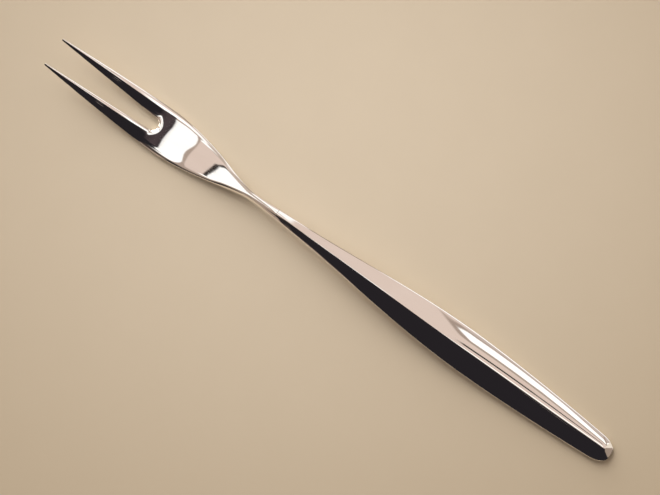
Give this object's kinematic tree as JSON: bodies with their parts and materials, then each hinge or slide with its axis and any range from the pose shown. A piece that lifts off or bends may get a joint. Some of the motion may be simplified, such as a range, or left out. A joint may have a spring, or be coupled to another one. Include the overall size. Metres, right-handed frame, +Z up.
{
  "type": "meat fork",
  "caption": "Slender meat fork with long upturned tines, a flat waisted head, a thin round neck and a hollow ridged handle, in polished silver plate.",
  "frame": {"origin": "on the table under the middle of the fork's box, halfway between the tips and the end of the handle", "axes": "+X from the tines towards the end of the handle, +Y across the fork, +Z up from the table that it lies on"},
  "size_m": [0.21, 0.0142, 0.0088],
  "materials": {
    "silver_plate": "mirror-polished silver plate with fine hairline wear",
    "silver_solder": "filed and buffed flush, a little duller than the plate",
    "handle_cement": "dull, cast"
  },
  "bodies": {
    "root": {"fork_head": "silver_plate", "handle_front": "silver_plate", "handle_back": "silver_plate", "handle_filler": "handle_cement", "seam_solder": "silver_solder", "neck_solder": "silver_solder"}
  },
  "joints": []
}
